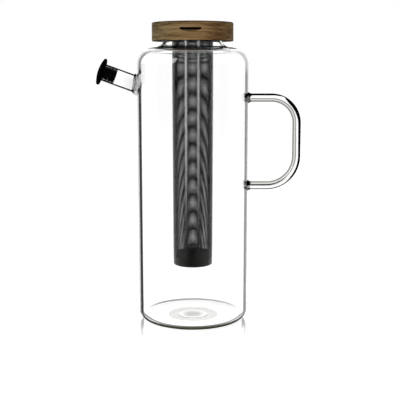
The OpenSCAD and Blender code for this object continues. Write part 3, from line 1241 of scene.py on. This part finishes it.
@dataclass
class Handle:
    """The solid glass rod bent to a D, with a flared pad at each end.

    The stops of its painted dark lines run round the handle, as along tells, and those of the painted shade
    on its pads by the way that a point faces, from -1 into the loop to 1 out of it.
    """

    name: str = "handle_rod"
    rod: float = 4.0 * MM
    flare_width: float = 1.6 * MM
    flare_length: float = 4.0 * MM
    body_radius: float = BODY_RADIUS
    reach: float = 46.3 * MM
    upper_bend: float = 24.0 * MM
    lower_bend: float = 28.0 * MM
    top: float = 214.0 * MM
    bottom: float = 130.4 * MM
    sunk: float = 1.3 * MM
    support: float = 1.0 * MM
    flare_steps: int = 6
    sides: int = 96
    bend_steps: int = 36
    pad_fade: float = 2.0 * MM
    line_starts: Stops = (
        (0.0, 0.52), (0.16, 0.6), (0.28, 0.8), (0.36, 0.42), (0.45, 0.22), (0.62, 0.2), (0.8, 0.26),
        (0.95, 0.36), (1.2, 0.46), (1.5, 0.52), (2.1, 0.46), (2.45, 0.55), (2.6, 0.72),
    )
    strengths: Stops = ((0.0, 1.0), (2.45, 1.0), (2.66, 0.0))
    upper_pad: Stops = ((0.1, 0.0), (0.4, 1.0))
    lower_pad: Stops = ((-0.9, 0.0), (-0.7, 1.0), (-0.15, 1.0), (0.05, 0.0))

    def build(self, material: Material) -> Piece:
        """Extrude and spin the rod from its upper pad round to its lower one.

        Args:
            material: The glass.

        Returns:
            The piece.
        """
        Bench.clear_selection()
        bpy.ops.mesh.primitive_circle_add(
            vertices=self.sides,
            radius=self.rod + self.flare_width,
            fill_type="NGON",
            location=(self.body_radius - self.sunk, 0, self.top),
            rotation=(0, math.pi / 2, 0),
        )
        piece = Bench.take(self.name)
        Bench.open_mesh(piece)
        grip, radii = self.body_radius + self.reach, self.flare_radii()
        out, down = Vector((1, 0, 0)), Vector((0, 0, -1))
        self.push(out * self.sunk)
        self.flare(out, radii)
        self.straight(out, grip - self.upper_bend - self.body_radius - self.flare_length)
        self.bend((grip - self.upper_bend, 0, self.top - self.upper_bend))
        self.straight(down, self.top - self.upper_bend - self.bottom - self.lower_bend)
        self.bend((grip - self.lower_bend, 0, self.bottom + self.lower_bend))
        self.straight(-out, grip - self.lower_bend - self.body_radius - self.flare_length)
        self.flare(-out, radii[::-1])
        self.push(-out * self.sunk)
        Bench.close_mesh()
        self.mark(piece)
        return Bench.finish(piece, material)

    def flare_radii(self) -> list[float]:
        """Radius of the pad at each step of its flare.

        Returns:
            The radii from the body outwards.
        """
        sweep = sweep_radius(self.flare_width, self.flare_length)
        steps = [self.flare_length * (1 - i / self.flare_steps) for i in range(self.flare_steps + 1)]
        return [self.rod + sweep - math.sqrt(sweep**2 - run**2) for run in steps]

    @staticmethod
    def push(move: Vector, scale: float = 1.0) -> None:
        """Extrude the selected end and scale it about its own middle.

        Args:
            move: The way that it moves.
            scale: Its growth.
        """
        bpy.ops.mesh.extrude_region_move(TRANSFORM_OT_translate={"value": move})
        if scale != 1.0:
            mesh = bpy.context.edit_object
            mesh.update_from_editmode()
            chosen = [v.co for v in mesh.data.vertices if v.select]
            middle = sum(chosen, Vector()) / len(chosen)
            bpy.ops.transform.resize(value=(scale, scale, scale), center_override=middle)

    def flare(self, way: Vector, radii: list[float]) -> None:
        """Extrude one flare, from its first radius to its last."""
        for before, after in zip(radii, radii[1:]):
            self.push(way * (self.flare_length / self.flare_steps), after / before)

    def straight(self, way: Vector, length: float) -> None:
        """Extrude a straight stretch, with a short step at each end that keeps the shading even."""
        for step in (self.support, length - 2 * self.support, self.support):
            self.push(way * step)

    def bend(self, centre: Triple) -> None:
        """Spin the selected end through a quarter turn about a centre, downwards."""
        bpy.ops.mesh.spin(steps=self.bend_steps, angle=math.pi / 2, center=centre, axis=(0, -1, 0))

    def outward(self, place: Vector) -> Vector:
        """The way out of the handle's loop at a place on the rod.

        Args:
            place: The place.

        Returns:
            A unit vector in the plane of the loop.
        """
        grip = self.body_radius + self.reach
        for bend, height, sign in ((self.upper_bend, self.top, 1), (self.lower_bend, self.bottom, -1)):
            middle = Vector((grip - bend, 0, height - sign * bend))
            if (place.z - middle.z) * sign > 0:
                if place.x < middle.x:
                    return Vector((0, 0, sign))
                return Vector((place.x - middle.x, 0, place.z - middle.z)).normalized()
        return Vector((1, 0, 0))

    def along(self, place: Vector) -> float:
        """How far round the handle a place lies.

        Args:
            place: The place.

        Returns:
            0 at the upper arm, 1 at the top of the grip, 2 at its foot and 3 at the lower arm.
        """
        grip = self.body_radius + self.reach
        top, foot = self.top - self.upper_bend, self.bottom + self.lower_bend
        if place.z > top:
            turn = math.atan2(place.x - grip + self.upper_bend, place.z - top)
            return max(0.0, turn / (math.pi / 2))
        if place.z > foot:
            return 1 + (top - place.z) / (top - foot)
        turn = math.atan2(foot - place.z, place.x - grip + self.lower_bend)
        return 2 + min(1.0, turn / (math.pi / 2))

    def mark(self, piece: Piece) -> None:
        """Write where a point faces in the loop's plane, where its painted dark lines start, how dark they
        are, and how much painted shade its pads take.

        Args:
            piece: The rod.
        """
        names = ("rod_side", "rod_start", "rod_strength", "rod_pad")
        side, start, strength, pad = Bench.values(piece, Domain.POINT, *names)
        pad_end = self.body_radius + self.flare_length
        for vertex in piece.data.vertices:
            index, along = vertex.index, self.along(vertex.co)
            facing = vertex.normal.dot(self.outward(vertex.co))
            side[index].value = facing
            start[index].value = between(along, self.line_starts)
            strength[index].value = between(along, self.strengths)
            upper = vertex.co.z > self.top - self.upper_bend
            dark = between(facing, self.upper_pad if upper else self.lower_pad)
            pad[index].value = clamp((pad_end - vertex.co.x) / self.pad_fade) * dark


@dataclass
class Stopper:
    """The silicone stopper: a domed flange with a turned-back rim, and a plug with bands."""

    spout: Spout
    name: str = "stopper_rubber"
    flange: float = 12.8 * MM
    flange_start: float = 34.2 * MM
    flange_end: float = 36.9 * MM
    dome: float = 2.0 * MM
    dome_steps: int = 9
    lobe_steps: int = 20
    web: float = 0.7 * MM
    lobe: float = 1.5 * MM
    plug_length: float = 12.5 * MM
    band: float = 6.36 * MM
    band_edge: float = 0.3 * MM
    valley: float = 6.33 * MM
    valley_width: float = 0.5 * MM
    bands: int = 4
    smooth_angle: float = 50.0
    turn_steps: int = 96

    def build(self, material: Material) -> Piece:
        """Spin the stopper on the spout's axis and dress it.

        Args:
            material: The silicone.

        Returns:
            The piece.
        """
        piece = Bench.lathe(self.name, self.plug_points() + self.flange_points(), self.turn_steps)
        Bench.place(piece, self.spout.axis())
        return Bench.finish(piece, material, self.smooth_angle)

    def plug_points(self) -> list[Point]:
        """Half section of the banded plug.

        Returns:
            The points from the axis at its end to the flange.
        """
        start = self.flange_start - self.plug_length
        pitch = self.plug_length / self.bands
        soft = self.band_edge
        points = [(0.0, start), (self.valley, start)]
        for index in range(self.bands):
            low = start + index * pitch
            high = low + pitch - self.valley_width
            points += [(self.band - soft / 2, low + soft / 3), (self.band, low + soft)]
            points += [(self.band, high - soft), (self.band - soft / 2, high - soft / 3)]
            points += [(self.valley, high), (self.valley, high + self.valley_width)]
        return points[:-1] + [(self.valley, self.flange_start + self.web)]

    def flange_points(self) -> list[Point]:
        """Half section of the flange.

        Returns:
            The points from the plug round its rim to the middle of the dome.
        """
        middle = (self.flange - self.lobe, self.flange_end - self.lobe)
        points = [(middle[0] - self.lobe, self.flange_start + self.web)]
        points += arc(middle, self.lobe, 200, 450, self.lobe_steps)
        for step in range(1, self.dome_steps + 1):
            share = step / self.dome_steps
            points.append((middle[0] * (1 - share), self.flange_end + self.dome * (1 - (1 - share) ** 2)))
        return points


@dataclass
class Sleeve:
    """The perforated sheet of the infuser, in a few bands that meet edge to edge."""

    name: str = "infuser_mesh"
    bottom_radius: float = 19.0 * MM
    top_radius: float = 19.5 * MM
    bottom: float = 61.1 * MM
    top: float = 272.9 * MM
    thickness: float = 0.07 * MM
    pitch_up: float = 0.76 * MM
    pitch_round: float = 0.66 * MM
    hole_share: float = 0.505
    merge_share: float = 0.001
    bands: int = 7
    facing: float = math.radians(-89.51)

    def build(self, material: Material) -> list[Piece]:
        """Model one cell, repeat it over each band and wrap the band round the cone.

        Args:
            material: The steel.

        Returns:
            The bands, from the bottom up.
        """
        rows = round((self.top - self.bottom) / self.pitch_up)
        columns = 2 * round(math.pi * self.bottom_radius / self.pitch_round)
        band_rows = math.ceil(rows / self.bands)
        pieces = []
        for band in range(self.bands):
            first = band * band_rows
            piece = self.flat_band(f"{self.name}_{band + 1}", columns, min(band_rows, rows - first))
            self.wrap(piece, columns, rows, first)
            Bench.dress(piece, material)
            pieces.append(piece)
        return pieces

    def flat_band(self, name: str, columns: int, rows: int) -> Piece:
        """Make a flat band of square cells with square holes, one unit a cell.

        Args:
            name: Name of the band.
            columns: Number of cells round the sleeve.
            rows: Number of cells up the band.

        Returns:
            The band, in the XZ plane.
        """
        Bench.clear_selection()
        bpy.ops.mesh.primitive_plane_add(size=1.0, location=(0.5, 0, 0.5), rotation=(math.pi / 2, 0, 0))
        piece = Bench.take(name)
        Bench.open_mesh(piece)
        bpy.ops.mesh.inset(thickness=(1 - self.hole_share) / 2)
        bpy.ops.mesh.delete(type="FACE")
        bpy.ops.object.mode_set(mode="OBJECT")
        for count, way in ((columns, (1, 0, 0)), (rows, (0, 0, 1))):
            Bench.modify(
                piece,
                "ARRAY",
                use_relative_offset=False,
                use_constant_offset=True,
                constant_offset_displace=way,
                count=count,
                use_merge_vertices=True,
                merge_threshold=self.merge_share,
            )
        return piece

    def wrap(self, piece: Piece, columns: int, rows: int, first: int) -> None:
        """Wrap a flat band round the tapered sleeve, close its seam and give it its thickness.

        Args:
            piece: The band.
            columns: Number of cells round the sleeve.
            rows: Number of cells up the whole sleeve.
            first: The band's first row.
        """
        height = self.top - self.bottom
        for vertex in piece.data.vertices:
            rise = (first + vertex.co.z) / rows
            radius = self.bottom_radius + (self.top_radius - self.bottom_radius) * rise
            angle = math.tau * (vertex.co.x - 0.5) / columns + self.facing
            vertex.co = (radius * math.cos(angle), radius * math.sin(angle), self.bottom + height * rise)
        Bench.open_mesh(piece)
        Bench.close_mesh()
        Bench.modify(piece, "SOLIDIFY", thickness=self.thickness, offset=-1.0)


@dataclass(frozen=True)
class Lamp:
    """A rectangular lamp, which the camera doesn't see."""

    name: str
    place: Triple
    aim: Triple
    size: Point
    power: float

    def hang(self) -> Piece:
        """Hang the lamp.

        Returns:
            The lamp.
        """
        data = bpy.data.lights.new(self.name, "AREA")
        data.shape = "RECTANGLE"
        data.size, data.size_y = self.size
        data.energy = self.power
        lamp = bpy.data.objects.new(self.name, data)
        lamp.location = self.place
        lamp.rotation_euler = (Vector(self.aim) - Vector(self.place)).to_track_quat("-Z", "Y").to_euler()
        lamp.visible_camera = False
        lamp.visible_transmission = False
        bpy.context.collection.objects.link(lamp)
        return lamp


@dataclass
class Studio:
    """Floor, world, lamps and camera, in metres from the middle of the base."""

    camera_place: Triple = (6.909 * MM, -812.62 * MM, 242.77 * MM)
    camera_pitch: float = math.radians(8.87)
    focal_pixels: float = 852.395
    image_pixels: float = 400.0
    sensor: float = 36.0
    diffuse_world: float = 0.6
    through_glass: float = 1.14
    room: Stops = ((0.2, 0.02), (0.42, 0.08), (0.52, 0.6), (0.6, 1.15))
    floor_radius: float = 6.0
    floor_sides: int = 64
    floor_gap: float = 0.05 * MM
    floor_colour: float = 0.85
    floor_glow: float = 0.62
    dark_floor: float = 0.03
    dark_ahead: Point = (-0.08, -0.3)
    mirror_near: Point = (0.056, 0.098)
    mirror_level: float = 0.6
    mirror_roughness: float = 0.04
    mirror_side: Point = (0.0478, 0.0488)
    mirror_lean: float = 0.067
    key: Lamp = Lamp("key", (-1.3, -1.1, 1.0), (0, 0, 0.16), (0.9, 1.1), 22.0)
    strip_turns: tuple[tuple[str, float], ...] = (("strip_left", -37.7), ("strip_right", 31.8))
    strip_level: float = 0.08
    strip_size: Point = (0.04, 0.56)
    strip_power: float = 16.0

    def build(self) -> None:
        """Build the whole studio."""
        self.make_camera()
        self.make_world()
        self.make_floor()
        self.make_lamps()
        bpy.context.scene.view_settings.view_transform = "Standard"

    def make_camera(self) -> None:
        """Place the camera at the photograph's angle."""
        data = bpy.data.cameras.new("camera")
        data.sensor_width = self.sensor
        data.lens = self.focal_pixels / self.image_pixels * self.sensor
        camera = bpy.data.objects.new("camera", data)
        camera.location = self.camera_place
        camera.rotation_euler = (math.pi / 2 - self.camera_pitch, 0.0, 0.0)
        bpy.context.collection.objects.link(camera)
        bpy.context.scene.camera = camera

    def make_world(self) -> None:
        """Make a white world, which is dark only in front, where gloss would show the studio's dark side."""
        world = bpy.data.worlds.new("studio")
        world.cycles.sampling_method = "NONE"
        bpy.context.scene.world = world
        tree = Tree(world, "OutputWorld")
        behind = tree.split(tree.read("TexCoord", "Generated"))["Y"]
        room = tree.fade(tree.span(behind, -1.0, 1.0), *self.room)
        straight = tree.read("LightPath", "Is Transmission Ray")
        straight = tree.mix(straight, grey(1.0), grey(self.through_glass))
        mirrored = tree.mix(tree.after("Glossy Depth"), straight, room)
        colour = tree.mix(tree.after("Diffuse Depth"), mirrored, grey(self.diffuse_world))
        tree.finish("Background", {"Color": colour, "Strength": 1.0})

    def make_floor(self) -> None:
        """Lay the floor just under the foot."""
        Bench.clear_selection()
        bpy.ops.mesh.primitive_circle_add(
            vertices=self.floor_sides, radius=self.floor_radius, fill_type="NGON"
        )
        floor = Bench.take("floor")
        Bench.dress(floor, self.floor_material())
        floor.data.transform(Matrix.Translation((0, 0, -self.floor_gap)))
        floor.visible_glossy = False

    def floor_material(self) -> Material:
        """Build a pale floor that keeps a soft shadow, and a faint reflection beside the foot.

        Returns:
            The material.
        """
        tree = Tree(bpy.data.materials.new("pale_floor"))
        place = tree.place()
        axes = tree.split(place)
        matte = tree.read("BsdfDiffuse", 0, {"Color": grey(self.floor_colour)})
        glow = tree.read("Emission", 0, {"Color": grey(1.0), "Strength": self.floor_glow})
        pale = tree.read("AddShader", 0, {0: matte, 1: glow})
        dark = tree.read("BsdfDiffuse", 0, {"Color": grey(self.dark_floor)})
        gloss = tree.read("BsdfGlossy", 0, {"Color": grey(1.0), "Roughness": self.mirror_roughness})
        ahead = tree.times(tree.span(axes["Y"], *self.dark_ahead), tree.after("Glossy Depth"))
        base = tree.read("MixShader", 0, {0: ahead, 1: pale, 2: dark})
        near = tree.span(tree.length(place), *self.mirror_near, self.mirror_level, 0.0)
        across = tree.less(tree.maths("ABSOLUTE", axes["X"]), tree.times(axes["Y"], self.mirror_lean))
        amount = tree.times(near, tree.span(across, *self.mirror_side))
        return tree.finish("MixShader", {0: amount, 1: base, 2: gloss})

    def make_lamps(self) -> None:
        """Hang a soft key lamp at the left, and two tall strips that only the infuser's mesh mirrors."""
        self.key.hang()
        lit = bpy.data.collections.new("lit_by_strips")
        for piece in bpy.data.objects:
            if piece.name.startswith(Sleeve.name):
                lit.objects.link(piece)
        for name, turn in self.strip_turns:
            angle = math.radians(turn)
            place = (math.sin(angle), -math.cos(angle), self.strip_level)
            strip = Lamp(name, place, (0, 0, self.strip_level), self.strip_size, self.strip_power).hang()
            strip.light_linking.receiver_collection = lit


def ride(piece: Piece, body: Body, slot: str, *nodes: str) -> None:
    """Tie a new piece to its body, and hide the CAD nodes that it stands for.

    Args:
        piece: The piece.
        body: The body that it rides on.
        slot: The record's material slot; not used.
        nodes: The CAD nodes that it replaces.
    """
    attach(piece, body.value)
    if nodes:
        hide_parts(*nodes)
    log.info("%s rides on %s, %d faces", piece.name, body.value, len(piece.data.polygons))


@dataclass
class Fittings:
    """The CAD solids that keep their shape: the infuser's cup and collar, and the lid with its gasket."""

    # The cup's near black is painted shade: it stands in for the dark studio that the polished steel mirrors.
    cup: SteelFinish = SteelFinish("polished_cup_steel", (0.032, 0.032, 0.028, 1.0), 0.16)
    collar: SteelFinish = SteelFinish("satin_steel", grey(0.45), 0.3)
    lid: WoodFinish = WoodFinish()
    gasket: SiliconeFinish = SiliconeFinish("clear_silicone", (0.75, 0.75, 0.73, 1.0), 0.4, 0.4)

    def dress(self) -> None:
        """Give each of them its finish."""
        finishes = (self.cup, self.collar, self.lid, self.gasket)
        for node, finish in zip(("infuser_cup", "infuser_collar", "lid_cap", "lid_gasket"), finishes):
            Bench.dress(frame["nodes"][node], finish.material())
            log.info("%s is dressed in %s", node, finish.name)


def main() -> None:
    """Build the pitcher and its studio."""
    logging.basicConfig(level=logging.INFO, format="%(name)s: %(message)s")
    spout = Spout()
    ride(GlassBody(spout).build(BodyFinish().material()), Body.GLASS, "clear_glass", "glass_body")
    ride(spout.build(TubeFinish().material()), Body.GLASS, "clear_glass", "spout_tube")
    ride(spout.build_bead(BeadFinish().material()), Body.GLASS, "clear_glass")
    ride(Handle().build(RodFinish().material()), Body.GLASS, "clear_glass", "handle")
    # The sleeve's near black is painted shade: it stands in for the dark studio that the steel mirrors.
    for band in Sleeve().build(SteelFinish("perforated_steel", grey(0.035), 0.17).material()):
        ride(band, Body.INFUSER, "stainless_steel", "infuser_sleeve")
    black = SiliconeFinish("black_silicone", (0.0012, 0.0012, 0.0013, 1.0), 0.6, gloss=0.0)
    ride(Stopper(spout).build(black.material()), Body.STOPPER, "black_silicone", "spout_stopper")
    Fittings().dress()
    Studio().build()


if __name__ == "__main__":
    main()
